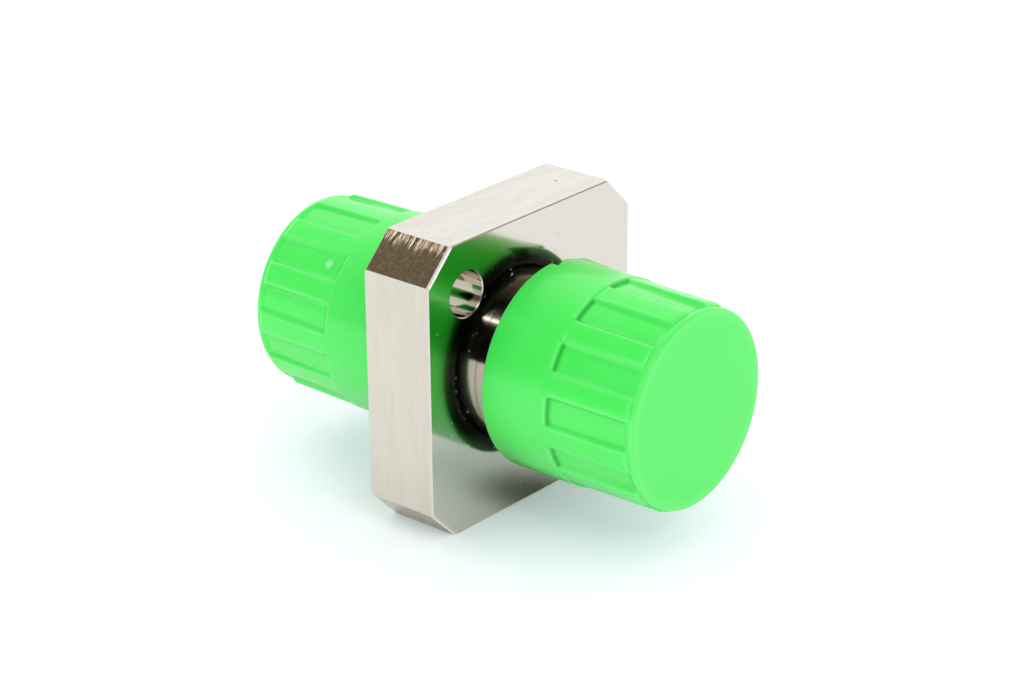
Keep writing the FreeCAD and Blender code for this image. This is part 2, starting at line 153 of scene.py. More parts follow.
# %% [markdown]
# ## The room
# Polished metal has no colour of its own: it shows the room. In the photograph the room is a white table
# and backdrop, a dark side towards the camera and one narrow lamp up on the right. Here the world gives
# plain white to the camera, even white light to the surfaces, and to mirror-like rays a picture of that
# room, painted by direction alone. Such a room is easier to tune than real walls, and it isn't in the way
# when the camera goes round the object.

# %% Paint the room by direction
TOWARDS_CAMERA = (0.651, -0.759, 0.0)
SOFT_LIGHT = 1.03
WHITE_WALL = (1.16, 1.15, 1.11)
WALL_LEAN = 0.45

world = bpy.data.worlds.new("room")
scene.world = world
world.use_nodes = True
room = world.node_tree
room.nodes.clear()
direction = add_node(room, "TexCoord").outputs["Generated"]
towards = add_node(room, "VectorMath", {"operation": "DOT_PRODUCT"})
plug(room, towards.inputs[0], direction)
plug(room, towards.inputs[1], TOWARDS_CAMERA)
height = add_node(room, "SeparateXYZ", Vector=direction).outputs["Z"]
# The wall's upper edge leans over: the higher a ray goes, the earlier it meets the dark side of the room.
reach = calc(room, "MULTIPLY_ADD", height, WALL_LEAN, towards.outputs["Value"])
# The reach runs from about -1 to 1 and the colours from 0 to 1, so it is halved and moved up by a half.
wall = colour_scale(room, calc(room, "MULTIPLY_ADD", reach, 0.5, 0.5), [
    (0.13, (1.0, 1.0, 1.0)),
    (0.40, (0.80, 0.76, 0.70)),
    (0.52, (0.42, 0.37, 0.31)),
    (0.61, (0.19, 0.16, 0.11)),
    (0.76, (0.07, 0.066, 0.045)),
    (0.90, (0.004, 0.004, 0.004)),
])
wall = blend(room, 1.0, wall, (*WHITE_WALL, 1), "MULTIPLY")
above = calc(room, "GREATER_THAN", height, 0.0)
seen_in_gloss = blend(room, above, (*WHITE_WALL, 1), wall)

light_path = add_node(room, "LightPath")
plain = calc(room, "ADD", light_path.outputs["Is Camera Ray"], light_path.outputs["Is Transmission Ray"])
colour = blend(room, light_path.outputs["Is Glossy Ray"], (SOFT_LIGHT,) * 3 + (1,), seen_in_gloss)
colour = blend(room, calc(room, "MINIMUM", plain, 1.0), colour, (1, 1, 1, 1))
surface = add_node(room, "Background", Color=colour, Strength=1.0)
room.links.new(surface.outputs[0], add_node(room, "OutputWorld").inputs["Surface"])
world.cycles.sampling_method = "NONE"
print("room painted in", len(room.nodes), "nodes")

# %% [markdown]
# ## The table and the lamp
# The table is a wide white sheet under the flange's lower edge. It is left as a real lit surface, so that
# it takes the object's soft shadow and the green light that the caps throw on it. The lamp is a narrow
# softbox. It is weak beside the even light, and its work is the bright line along the neck and the
# flange's bevel, and the sheen on the caps.

# %% Make the table and the lamp
TABLE_HALF_M = 1.5
table_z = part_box("adapter_body")[0].z
corners = [(-TABLE_HALF_M, -TABLE_HALF_M), (TABLE_HALF_M, -TABLE_HALF_M),
           (TABLE_HALF_M, TABLE_HALF_M), (-TABLE_HALF_M, TABLE_HALF_M)]
table_mesh = bpy.data.meshes.new("table")
table_mesh.from_pydata([(x, y, table_z) for x, y in corners], [], [(0, 1, 2, 3)])
table = bpy.data.objects.new("table", table_mesh)
scene.collection.objects.link(table)

# Two corrections for what the lit sheet alone can't give. The photographed shadow is faint and a little
# green, as far as the camera sees it: a mint glow, added for the camera only, lightens the sheet and its
# shadow. In the polished metal the floor close under the caps is dark: a painted shadow lies there for
# mirror-like rays only, and a faint glow lightens the sheet in the metal.
CAMERA_GLOW = (0.13, 0.19, 0.185, 1)
METAL_GLOW = (0.035, 0.045, 0.035, 1)
SHEET_WHITE = (0.97, 0.97, 0.97, 1)
SHADOW_UNDER_CAPS_IN_METAL = (0.17, 0.20, 0.155, 1)
# Where the painted shadow in the metal is darkest and how far it reaches, in millimetres, and how much it
# is squeezed along x.
DARKEST_MM = (2.2, 0.1)
DARK_SPREAD_MM = (3.2, 0.2)
DARK_SQUEEZE = 0.75

paper = bpy.data.materials.new("white_table")
paper.use_nodes = True
tree = paper.node_tree
tree.nodes.clear()
path = add_node(tree, "LightPath")
across = add_node(tree, "VectorMath", {"operation": "MULTIPLY_ADD"})
plug(tree, across.inputs[0], add_node(tree, "TexCoord").outputs["Object"])
plug(tree, across.inputs[1], (DARK_SQUEEZE / MM, 1 / MM, 0))
plug(tree, across.inputs[2], (-DARK_SQUEEZE * DARKEST_MM[0], -DARKEST_MM[1], 0))
from_middle = add_node(tree, "VectorMath", {"operation": "LENGTH"})
plug(tree, from_middle.inputs[0], across.outputs[0])
# The painted shadow under the caps, seen only by mirror-like rays.
under = ramp(tree, from_middle.outputs["Value"], *DARK_SPREAD_MM)
under = calc(tree, "MULTIPLY", under, path.outputs["Is Glossy Ray"])
sheet = blend(tree, under, SHEET_WHITE, SHADOW_UNDER_CAPS_IN_METAL)
lit = add_node(tree, "BsdfDiffuse", Color=sheet)
glow = blend(tree, path.outputs["Is Camera Ray"], (0, 0, 0, 1), CAMERA_GLOW)
glow = blend(tree, path.outputs["Is Glossy Ray"], glow, METAL_GLOW)
both = add_node(tree, "AddShader")
tree.links.new(lit.outputs[0], both.inputs[0])
tree.links.new(add_node(tree, "Emission", Color=glow).outputs[0], both.inputs[1])
tree.links.new(both.outputs[0], add_node(tree, "OutputMaterial").inputs["Surface"])
table_mesh.materials.append(paper)

LAMP_DIRECTION = Vector((0.70, -0.33, 0.635)).normalized()
LAMP_DISTANCE_M = 0.4
LAMP_SIZE_M = (0.11, 0.052)
LAMP_RADIANCE = 7.0
lamp_data = bpy.data.lights.new("softbox", "AREA")
lamp_data.shape = "RECTANGLE"
lamp_data.size, lamp_data.size_y = LAMP_SIZE_M
lamp_data.energy = LAMP_RADIANCE * np.pi * LAMP_SIZE_M[0] * LAMP_SIZE_M[1]
lamp = bpy.data.objects.new("softbox", lamp_data)
lamp_turn = LAMP_DIRECTION.to_track_quat("Z", "Y").to_matrix().to_4x4()
lamp.matrix_world = Matrix.Translation(LAMP_DIRECTION * LAMP_DISTANCE_M) @ lamp_turn
lamp.visible_camera = False
scene.collection.objects.link(lamp)
print(f"table at z = {table_z / MM:.1f} mm, lamp {lamp_data.energy:.3f} W")

# %% [markdown]
# ## Grids whose lines crowd where the surface bends
# A smooth wall needs few points and a small round edge needs many. An even grid wastes its points on the
# walls. Here each grid direction starts as a density, points for each millimetre, with a bump at every
# edge. Adding the density up gives a count that grows faster near the edges, and reading it off at whole
# steps gives the grid's lines.

# %% Crowded lines
DENSITY_SAMPLES = 6001


def bell(distance, reach):
    """A bell curve: 1 at distance 0, and e to the power of -(distance / reach)^2 away from it."""
    return np.exp(-((distance / reach) ** 2))


def crowded(start, end, apart, spots):
    """Places from start to end, apart from each other by that much, and closer near each spot.

    A spot is (where, how close there, how far its effect reaches). The density is one over the distance
    between neighbours, and the larger of the plain one and each spot's bell curve. Its running sum is read
    off at even steps.
    """
    fine = np.linspace(start, end, DENSITY_SAMPLES)
    density = np.full(fine.shape, 1 / apart)
    for where, close, reach in spots:
        density = np.maximum(density, bell(fine - where, reach) / close)
    steps = (density[1:] + density[:-1]) / 2 * np.diff(fine)
    count = np.concatenate([[0.0], np.cumsum(steps)])
    return np.interp(np.linspace(0, count[-1], int(np.ceil(count[-1])) + 1), count, fine)


def smooth_step(value):
    """0 below 0, 1 above 1, and 3v^2 - 2v^3 between them."""
    v = np.clip(value, 0, 1)
    return v * v * (3 - 2 * v)


# %% [markdown]
# A piece that is turned about an axis could be made with a Spin or a Screw. The caps' radius changes with
# the angle too, so here a whole grid of points is worked out at once. Its first and last rings are closed
# with a fan of triangles, because an open end would count as a hole in the solid.

# %% Closed meshes around the X axis
def closed_turning(name, along, radius, angle):
    """A closed mesh around the X axis from a grid of rings.

    along and radius hold a row for each ring and a column for each angle. A point is (along, -radius sin,
    radius cos) of its angle, which is counted from the top. The first and last rings close on a single
    point on the axis.
    """
    rings, columns = radius.shape
    points = np.stack([along, -radius * np.sin(angle), radius * np.cos(angle)], axis=-1).reshape(-1, 3)
    tips = np.array([[along[0].mean(), 0, 0], [along[-1].mean(), 0, 0]])
    points = np.vstack([points, tips])
    column = np.arange(columns)
    beside = (column + 1) % columns
    row = np.arange(rings - 1)[:, None] * columns
    quads = np.stack([row + column, row + beside, row + columns + beside, row + columns + column], -1)
    quads = quads.reshape(-1, 4)
    first, last = rings * columns, rings * columns + 1
    top = (rings - 1) * columns
    fans = np.vstack([
        np.stack([np.full(columns, first), beside, column], -1),
        np.stack([np.full(columns, last), top + column, top + beside], -1),
    ])
    return mesh_of(name, points, quads, fans)


def signed_volume(points, quads, fans):
    """The volume inside a closed mesh: a sixth of the sum of a . (b x c) over its triangles."""
    triangles = np.vstack([quads[:, [0, 1, 2]], quads[:, [0, 2, 3]], fans])
    a, b, c = (points[triangles[:, i]] for i in range(3))
    return np.einsum("ij,ij->i", a, np.cross(b, c)).sum() / 6


def mesh_of(name, points, quads, fans):
    """A smooth shaded mesh in metres from points in millimetres, with its faces turned outwards."""
    volume = signed_volume(points, quads, fans)
    if volume < 0:
        quads, fans = quads[:, ::-1], fans[:, ::-1]
    loops = np.concatenate([quads.ravel(), fans.ravel()]).astype(np.int32)
    sizes = np.concatenate([np.full(len(quads), 4), np.full(len(fans), 3)])
    mesh = bpy.data.meshes.new(name)
    mesh.vertices.add(len(points))
    mesh.vertices.foreach_set("co", (points * MM).astype(np.float32).ravel())
    mesh.loops.add(len(loops))
    mesh.loops.foreach_set("vertex_index", loops)
    mesh.polygons.add(len(sizes))
    mesh.polygons.foreach_set("loop_start", (np.cumsum(sizes) - sizes).astype(np.int32))
    mesh.update(calc_edges=True)
    mesh.polygons.foreach_set("use_smooth", np.ones(len(sizes), bool))
    mesh.validate()
    piece = bpy.data.objects.new(name, mesh)
    scene.collection.objects.link(piece)
    print(f"{name}: {2 * len(quads) + len(fans)} triangles, {abs(volume):.1f} mm3")
    return piece


# %% [markdown]
# ## The dust caps
# Each cap is one soft moulding: a smooth band at the open rim, then twelve grip ribs with shallow
# recesses between them, and a flat closed end. It could be made by boxes cut from a cylinder, and would
# then look cut. Here the outside is one formula instead, the radius for each place along the axis and
# each angle around it. A step in that radius is a smooth step of a stated width or a quarter of an
# ellipse, which is how a mould's small radii look on the part.

# %% Sizes of a cap in millimetres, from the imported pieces
rim_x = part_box("dust_cap_front")[0].x / MM
end_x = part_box("dust_cap_front")[1].x / MM
SKIRT_LENGTH = 3.6
SKIRT_RADIUS = 4.88
BORE_RADIUS = 4.03
BORE_ROUND = 0.15
END_WALL = 1.05
RIM_LEAD, LEAD_ROUND = 0.15, 0.03
RIM_ROUND = 0.12
END_ROUND, END_ROUND_IN = 0.16, 0.14
FLOOR_RADIUS = 4.68
FLOOR_FALL = 0.15
CREST_RADIUS = 4.83
CREST_FALL = 0.06
END_RING_RADIUS = 4.63
RIB_COUNT = 12
RECESS_DEG = 15.4
RIB_STOP = 0.30
RIB_END_ROUND = 0.28
EDGE_START, EDGE_STEP_DEG = 0.10, 5
RECESS_STOP = 0.54
RECESS_RAMP = 0.32
STEP_WIDTH = 0.09
WALL_DEG = 3.2
GATE_X, GATE_RADIUS, GATE_HEIGHT, GATE_STEP = 7.5, 0.27, 0.12, 0.12
LUG_START, LUG_LENGTH, LUG_WIDTH, LUG_HEIGHT, LUG_DEG = 3.05, 2.0, 1.2, 0.13, 79.4
LUG_FOOT = np.sqrt(SKIRT_RADIUS**2 - LUG_WIDTH**2)
LUG_REACH_DEG, LUG_SIDE_STEP, LUG_START_STEP = 30, 0.1, 0.06
NICK_LENGTH, NICK_WIDTH, NICK_DEPTH, NICK_DEG = 0.45, 1.15, 0.4, 87.2
NICK_STEP, NICK_CLEAR, NICK_MARGIN = 0.05, 1, 0.03
skirt_end = rim_x + SKIRT_LENGTH
print(f"cap from x = {rim_x:.2f} to {end_x:.2f} mm")


# %% The outside of a cap
def recess_distance(angle):
    """Degrees from the nearest recess's middle."""
    pitch = 360 / RIB_COUNT
    return np.abs((np.degrees(angle) + pitch / 2) % pitch - pitch / 2)


def degrees_back(angle, start):
    """Degrees from the start backwards to the angle, between -180 and 180."""
    return (start - np.degrees(angle) + 180) % 360 - 180


def gate_distance(x, angle):
    """Distance from the gate mark's middle, along x and around the recess's floor."""
    return np.hypot(x - GATE_X, FLOOR_RADIUS * np.radians(degrees_back(angle, 0)))


def outer_radius(x, angle):
    """The cap's outside radius: a skirt, then ribs on a slightly tapered core, a gate mark and a lug.

    A rib's height is a smooth step across its wall, and its crest comes down to the end ring in a quarter
    of an ellipse. The core falls a little towards the closed end and steps up to the same ring, and the
    ring's own edge is a quarter of an ellipse too. The skirt goes over to the ribs by a smooth step along
    x. The gate mark is a smooth step of the distance from its middle. The lug is a flat face that sinks
    away from the rim: at an angle d from its flush side, a flat at height h is h / cos(d) from the axis.
    """
    share = np.clip((x - skirt_end) / (end_x - skirt_end), 0, 1)
    floor = FLOOR_RADIUS - FLOOR_FALL * share
    floor = floor + (END_RING_RADIUS - floor) * smooth_step((x - (end_x - RECESS_STOP)) / RECESS_RAMP)
    ending = np.clip((x - (end_x - RIB_STOP - RIB_END_ROUND)) / RIB_END_ROUND, 0, 1)
    crest = END_RING_RADIUS + (CREST_RADIUS - CREST_FALL * share - END_RING_RADIUS) * np.sqrt(1 - ending**2)
    wall = smooth_step((recess_distance(angle) - RECESS_DEG / 2) / WALL_DEG + 0.5)
    rounding = np.clip((x - (end_x - END_ROUND)) / END_ROUND, 0, 1)
    ribbed = floor + (crest - floor) * wall - END_ROUND_IN * (1 - np.sqrt(1 - rounding**2))
    step = smooth_step((x - skirt_end) / STEP_WIDTH)
    radius = SKIRT_RADIUS + (ribbed - SKIRT_RADIUS) * step
    radius = radius + GATE_HEIGHT * smooth_step((GATE_RADIUS - gate_distance(x, angle)) / GATE_STEP)
    aside = np.radians(np.clip(degrees_back(angle, LUG_DEG), 0, LUG_REACH_DEG))
    flat = LUG_FOOT + LUG_HEIGHT * (1 - (x - LUG_START) / LUG_LENGTH)
    proud = np.maximum(flat / np.cos(aside) - radius, 0)
    within_width = smooth_step((LUG_WIDTH - flat * np.tan(aside)) / LUG_SIDE_STEP + 0.5)
    past_start = smooth_step((x - LUG_START) / LUG_START_STEP + 0.5)
    return radius + proud * (within_width * past_start)


def nick_limit(x, angle):
    """The largest radius that the nick in the rim leaves: a three-cornered cut, one side along the axis.

    Across the nick, its edge runs from its full length at the far side down to nothing at the lug's side.
    """
    across = np.radians(degrees_back(angle, NICK_DEG)) * SKIRT_RADIUS + NICK_WIDTH / 2
    edge = NICK_LENGTH * (1 - across / NICK_WIDTH) - (x - rim_x)
    cut = smooth_step(across / NICK_STEP + 0.5) * smooth_step(edge / NICK_STEP + 0.5)
    return SKIRT_RADIUS + NICK_CLEAR - (NICK_CLEAR + NICK_DEPTH) * cut


def arc(centre_x, centre_r, size, start_deg, end_deg, count):
    """Points on a circle's arc as (x, r) rows. The angle is counted from the X axis towards larger r."""
    turn = np.radians(np.linspace(start_deg, end_deg, count))
    return np.column_stack([centre_x + size * np.cos(turn), centre_r + size * np.sin(turn)])


# %% [markdown]
# The cap is a solid with a real wall, since the caps come off in the poses and their inside is then seen.
# One outline runs from the middle of the bore's floor, along the bore, around the rim, along the outside
# and over the end back to the axis. Turned about the axis it is a closed mesh, and only the rows on the
# outside follow the formula above.

# %% The grid of a cap
# Distances between the grid's lines, in degrees and millimetres: first the plain one, and then, for each
# feature, how close the lines come and how far that reaches.
PLAIN_DEG, WALL_LINES_DEG, GATE_LINES_DEG, NICK_LINES_DEG = 1.25, (0.24, 1.9), (0.45, 3.0), 0.5
PLAIN_ROWS, STEP_ROWS, GATE_ROWS, RIM_ROWS = 0.22, (0.010, 0.06), (0.045, 0.36), (0.03, 0.45)
RIB_END_ROWS = (0.03, 0.4)


def cap_angles():
    """Angles around the cap, crowded at each rib's two walls, the gate mark, the lug and the nick."""
    pitch = 2 * np.pi / RIB_COUNT
    wall = np.radians(RECESS_DEG / 2)
    close, reach = np.radians(WALL_LINES_DEG)
    spots = [(i * pitch + side * wall, close, reach) for i in range(RIB_COUNT + 1) for side in (-1, 1)]
    spots += [(place, *np.radians(GATE_LINES_DEG)) for place in (0, 2 * np.pi)]
    nick_half = np.degrees(NICK_WIDTH / 2 / SKIRT_RADIUS)
    lug_side = LUG_DEG - np.degrees(np.arcsin(LUG_WIDTH / SKIRT_RADIUS))
    spots += [(np.radians(place), close, reach) for place in (lug_side, NICK_DEG + nick_half)]
    spots += [(np.radians(NICK_DEG), np.radians(NICK_LINES_DEG), 1.6 * np.radians(nick_half))]
    return crowded(0, 2 * np.pi, np.radians(PLAIN_DEG), spots)[:-1]


def cap_rows():
    """The outline as x, r and a mark that is 1 where the outside's formula gives r."""
    bore_end = end_x - END_WALL
    inside = np.vstack([
        [[bore_end, r] for r in (0.4, 1.6, 2.9)],
        arc(bore_end - BORE_ROUND, BORE_RADIUS - BORE_ROUND, BORE_ROUND, 0, 90, 5),
        np.column_stack([np.linspace(bore_end - 0.6, rim_x + 0.5, 8), np.full(8, BORE_RADIUS)]),
        [[rim_x + RIM_LEAD + LEAD_ROUND, BORE_RADIUS], [rim_x + RIM_LEAD - 0.02, BORE_RADIUS + 0.02]],
        [[rim_x + LEAD_ROUND, BORE_RADIUS + RIM_LEAD - LEAD_ROUND]],
        [[rim_x, BORE_RADIUS + RIM_LEAD + LEAD_ROUND], [rim_x, BORE_RADIUS + 0.3]],
        [[rim_x, SKIRT_RADIUS - NICK_DEPTH - NICK_MARGIN]],
        arc(rim_x + RIM_ROUND, SKIRT_RADIUS - RIM_ROUND, RIM_ROUND, 180, 100, 6),
    ])
    rib_end = end_x - RIB_STOP
    side = crowded(rim_x + RIM_ROUND, end_x - EDGE_START, PLAIN_ROWS, [
        (skirt_end + STEP_WIDTH / 2, *STEP_ROWS),
        (rib_end, *STEP_ROWS),
        (rib_end, *RIB_END_ROWS),
        (GATE_X, *GATE_ROWS),
        (rim_x + RIM_ROUND, *RIM_ROWS),
    ])
    # The closed end's edge is a quarter of an ellipse, and it has begun where these rows stop. Its rest is
    # a circle's arc, squeezed across the axis.
    reached = np.degrees(np.arccos(1 - EDGE_START / END_ROUND))
    rest = arc(end_x - END_ROUND, 0, END_ROUND, reached - EDGE_STEP_DEG, 0, 8)
    rest[:, 1] = END_RING_RADIUS - END_ROUND_IN + rest[:, 1] * END_ROUND_IN / END_ROUND
    over = np.vstack([rest, [[end_x, r] for r in (4.0, 3.4, 2.4, 1.2, 0.4)]])
    outline = np.vstack([inside, np.column_stack([side, np.zeros(len(side))]), over])
    outside = np.zeros(len(outline))
    outside[len(inside):len(inside) + len(side)] = 1
    return outline[:, 0], outline[:, 1], outside


# %% [markdown]
# Light comes through the thin edges of soft plastic, so they look paler than its flat parts, and little
# light gets into the gap between the rim and the flange. Both are painted light here: highlights along the
# edges, and shade at the rim, for what the metal mirrors, and at each recess's foot. All of these follow
# the shape. So they are worked out here on the cap's own grid and stored with its points, and the material
# reads them by name.

# %% Marks for the cap's material
# A painted highlight line's strength, how far inside its edge it lies and how far it reaches, in
# millimetres.
END_LINE = (1.0, 0.08, 0.14)
SKIRT_LINE = (1.5, 0.0, 0.05)
RIM_LINE = (1.4, 0.05, 0.05)
RIB_END_LINE = (0.9, 0.08, 0.09)
RIB_LINE_DEG = 0.9
END_LINE_FROM, END_LINE_FADE = 4.2, 0.3
RIM_LINE_FROM, RIM_LINE_FADE = 4.7, 0.1
GATE_HIGHLIGHT, GATE_MARGIN, GATE_FADE = 3.6, 0.02, 0.14
FOOT_REACH = 0.045
RIM_SHADE = 0.6
SHADE_OUTSIDE = 0.4


def edge_line(beyond, strength, inset, reach):
    """A bell curve of the distance beyond an edge, with its middle a little inside the edge."""
    return strength * bell(beyond + inset, reach)


def in_recess(angle):
    """1 in a recess, going over to 0 towards its walls by a smooth step."""
    return smooth_step((RECESS_DEG / 2 - recess_distance(angle)) / 0.8 + 0.3)


def painted_edge_highlights(x, angle, radius, outside):
    """Painted highlight lines: the largest of a bell curve for each edge, times that edge's strength.

    The edges are the ribs' long edges, the closed end's edge, the gate mark, the skirt's edge in the
    recesses, the rim and the ribs' ends.
    """
    from_wall = recess_distance(angle) - RECESS_DEG / 2 - WALL_DEG / 2
    edge = bell(from_wall, RIB_LINE_DEG) * outside * smooth_step((x - skirt_end) / 0.2)
    far_out = smooth_step((radius - END_LINE_FROM) / END_LINE_FADE)
    edge = np.maximum(edge, edge_line(x - end_x, *END_LINE) * far_out)
    gate = smooth_step((GATE_RADIUS + GATE_MARGIN - gate_distance(x, angle)) / GATE_FADE)
    edge = np.maximum(edge, GATE_HIGHLIGHT * gate * outside)
    edge = np.maximum(edge, edge_line(x - skirt_end, *SKIRT_LINE) * outside * in_recess(angle))
    far_out = smooth_step((radius - RIM_LINE_FROM) / RIM_LINE_FADE)
    edge = np.maximum(edge, edge_line(rim_x - x, *RIM_LINE) * far_out)
    on_crest = smooth_step(from_wall / 1.5) * outside
    return np.maximum(edge, edge_line(x - end_x + RIB_STOP, *RIB_END_LINE) * on_crest)


def foot_shades(x, angle, outside):
    """A painted shade line at each recess's foot, just past the skirt's edge: a bell curve along x."""
    return bell(x - skirt_end - STEP_WIDTH, FOOT_REACH) * outside * in_recess(angle)


def rim_shades(x, radius):
    """Painted shade: 1 in the bore, and away from the rim a smooth step down to 0, weaker on the outside.
    """
    in_bore = (radius < BORE_RADIUS + 0.01) * (x < end_x - 0.1)
    near_rim = smooth_step((rim_x + RIM_SHADE - x) / RIM_SHADE)
    inwards = smooth_step((SKIRT_RADIUS - radius) / 0.3)
    near_rim = near_rim * (SHADE_OUTSIDE + (1 - SHADE_OUTSIDE) * inwards)
    return np.minimum(in_bore + near_rim, 1)


def mark_points(piece, title, values):
    """Stores one number from 0 to 4 for each grid point of a closed turning. Its two tips get 0."""
    values = np.concatenate([np.clip(values, 0, 4).ravel(), [0, 0]]).astype(np.float32)
    piece.data.attributes.new(title, "FLOAT", "POINT").data.foreach_set("value", values)


# %% [markdown]
# Both caps came out of the same mould, so one function makes them. The rear one faces the other way, and
# each was pushed on at an angle of its own, which its ribs and its gate mark show.

# %% Build both caps
def make_cap(name, node, body, facing, turn_deg):
    """One cap, facing +X or -X, turned about the axis as it was pushed on."""
    angle = cap_angles()
    x, r, formula_row = cap_rows()
    outside = formula_row[:, None]
    x_grid = np.repeat(x[:, None], len(angle), axis=1)
    around = np.repeat(angle[None, :], len(x), axis=0)
    radius = np.where(outside > 0, outer_radius(x_grid, around), r[:, None])
    radius = np.minimum(radius, nick_limit(x_grid, around))
    piece = closed_turning(name, facing * x_grid, radius, facing * around + np.radians(turn_deg))
    mark_points(piece, "painted_edge_highlight", painted_edge_highlights(x_grid, around, radius, outside))
    mark_points(piece, "foot_shade", foot_shades(x_grid, around, outside))
    mark_points(piece, "rim_shade", rim_shades(x_grid, radius))
    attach(piece, body)
    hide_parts(node)
    return piece


front_cap = make_cap("front_cap_moulding", "dust_cap_front", "front_cap", 1, -93.4)
rear_cap = make_cap("rear_cap_moulding", "dust_cap_rear", "rear_cap", -1, 46.8)

# %% [markdown]
# ## Effects that several finishes share
# A finish is more than a colour. Plated metal carries dust, pits, brushed lines and hair scratches, and
# plastic has a faint mottle. Each effect is a node group, built once, with named inputs for its size and
# strength, so that every material can use it in its own way. A group gives only masks and heights, and
# the shader stays in the material.

# %% Node groups
def new_group(name, inputs, outputs):
    """An empty node group with number and vector inputs. Returns the tree, its inputs and its outputs."""
    group = bpy.data.node_groups.new(name, "ShaderNodeTree")
    for title, usual in inputs.items():
        kind = "NodeSocketVector" if title == "Vector" else "NodeSocketFloat"
        socket = group.interface.new_socket(title, in_out="INPUT", socket_type=kind)
        if title != "Vector":
            socket.default_value = usual
    for title in outputs:
        group.interface.new_socket(title, in_out="OUTPUT", socket_type="NodeSocketFloat")
    entry = group.nodes.new("NodeGroupInput")
    leave = group.nodes.new("NodeGroupOutput")
    return group, entry.outputs, leave.inputs


def use_group(tree, group, **inputs):
    """The outputs of a node group placed in a material."""
    node = tree.nodes.new("ShaderNodeGroup")
    node.node_tree = group
    for name, value in inputs.items():
        plug(tree, node.inputs[name.replace("_", " ")], value)
    return node.outputs


def make_specks():
    """Round specks: all that lies within a size of the cell's point, in some cells of a random pattern."""
    usual = {"Vector": None, "Cells per mm": 3.0, "Share": 0.1, "Size": 0.2}
    smallest, spread, sharpness = 0.4, 0.8, 2.5
    group, given, made = new_group("specks", usual, ["Mask"])
    cells = add_node(group, "TexVoronoi", {"feature": "F1"}, Vector=given["Vector"],
                     Scale=given["Cells per mm"])
    chance = add_node(group, "SeparateColor", Color=cells.outputs["Color"])
    chosen = calc(group, "LESS_THAN", chance.outputs["Red"], given["Share"])
    size = calc(group, "MULTIPLY_ADD", chance.outputs["Green"], spread, smallest)
    size = calc(group, "MULTIPLY", given["Size"], size)
    near = calc(group, "SUBTRACT", 1.0, calc(group, "DIVIDE", cells.outputs["Distance"], size))
    near = calc(group, "MULTIPLY", near, sharpness)
    near = calc(group, "MINIMUM", calc(group, "MAXIMUM", near, 0.0), 1.0)
    plug(group, made["Mask"], calc(group, "MULTIPLY", chosen, near))
    return group


def make_streaks():
    """Brushed lines: noise read from a vector that is already stretched along the lines, in two scales."""
    group, given, made = new_group("streaks", {"Vector": None, "Lines per mm": 12.0}, ["Height"])
    wide_scale, wide_part, fine_part = 0.23, 0.45, 0.55
    fine = add_node(group, "TexNoise", Vector=given["Vector"], Scale=given["Lines per mm"],
                    Detail=3.0, Roughness=0.6)
    wide = add_node(group, "TexNoise", Vector=given["Vector"],
                    Scale=calc(group, "MULTIPLY", given["Lines per mm"], wide_scale),
                    Detail=2.0, Roughness=0.5)
    height = calc(group, "MULTIPLY", fine.outputs[0], fine_part)
    height = calc(group, "MULTIPLY_ADD", wide.outputs[0], wide_part, height)
    plug(group, made["Height"], height)
    return group


def make_hairlines():
    """Single scratches: where a slow noise crosses its middle, kept only in patches of a second noise."""
    usual = {"Vector": None, "Per mm": 0.8, "Width": 0.01, "Share": 0.45}
    patch_scale, middle = 0.8, 0.5
    group, given, made = new_group("hairlines", usual, ["Mask"])
    course = add_node(group, "TexNoise", Vector=given["Vector"], Scale=given["Per mm"],
                      Detail=1.0, Distortion=0.6)
    patch = add_node(group, "TexNoise", Vector=given["Vector"],
                     Scale=calc(group, "MULTIPLY", given["Per mm"], patch_scale), Detail=0.0)
    off = calc(group, "ABSOLUTE", calc(group, "SUBTRACT", course.outputs[0], middle))
    line = calc(group, "LESS_THAN", off, given["Width"])
    kept = calc(group, "LESS_THAN", patch.outputs[0], given["Share"])
    plug(group, made["Mask"], calc(group, "MULTIPLY", line, kept))
    return group


SPECKS = make_specks()
STREAKS = make_streaks()
HAIRLINES = make_hairlines()
print("node groups:", ", ".join(group.name for group in bpy.data.node_groups))


# %% Start of every material
def new_material(name):
    """A new material with a Principled shader, its tree, the shader and a place in millimetres."""
    material = bpy.data.materials.new(name)
    material.use_nodes = True
    tree = material.node_tree
    shader = tree.nodes["Principled BSDF"]
    in_metres = add_node(tree, "TexCoord").outputs["Object"]
    scale = add_node(tree, "VectorMath", {"operation": "SCALE"}, Vector=in_metres)
    plug(tree, scale.inputs["Scale"], 1 / MM)
    return material, tree, shader, scale.outputs[0]


def stretched(tree, place, factors):
    """The place with each axis multiplied. A pattern read from it is drawn out along the small factors."""
    node = add_node(tree, "VectorMath", {"operation": "MULTIPLY"})
    plug(tree, node.inputs[0], place)
    plug(tree, node.inputs[1], factors)
    return node.outputs[0]


def split(tree, vector):
    """The three numbers of a vector."""
    node = add_node(tree, "SeparateXYZ", Vector=vector)
    return node.outputs["X"], node.outputs["Y"], node.outputs["Z"]


def axis_distance(tree, y, z):
    """Distance from the optical axis: the square root of y^2 + z^2."""
    return calc(tree, "SQRT", calc(tree, "ADD", calc(tree, "MULTIPLY", y, y), calc(tree, "MULTIPLY", z, z)))


def streaks(tree, place, squeeze, lines_per_mm):
    """Heights of brushed lines that are drawn out along Y and Z, by one over the squeeze."""
    drawn_out = stretched(tree, place, (1.0, squeeze, squeeze))
    return use_group(tree, STREAKS, Vector=drawn_out, Lines_per_mm=lines_per_mm)["Height"]


def add_up(tree, base, parts):
    """The base plus each mask times its amount."""
    total = base
    for mask, amount in parts:
        total = calc(tree, "MULTIPLY_ADD", mask, amount, total)
    return total


def noise(tree, place, scale, detail, **more):
    """Smooth random values between 0 and 1, with that many features in a millimetre."""
    return add_node(tree, "TexNoise", Vector=place, Scale=scale, Detail=detail, **more).outputs[0]


def finish_material(obj, material):
    """Gives the piece this one material."""
    obj.data.materials.clear()
    obj.data.materials.append(material)
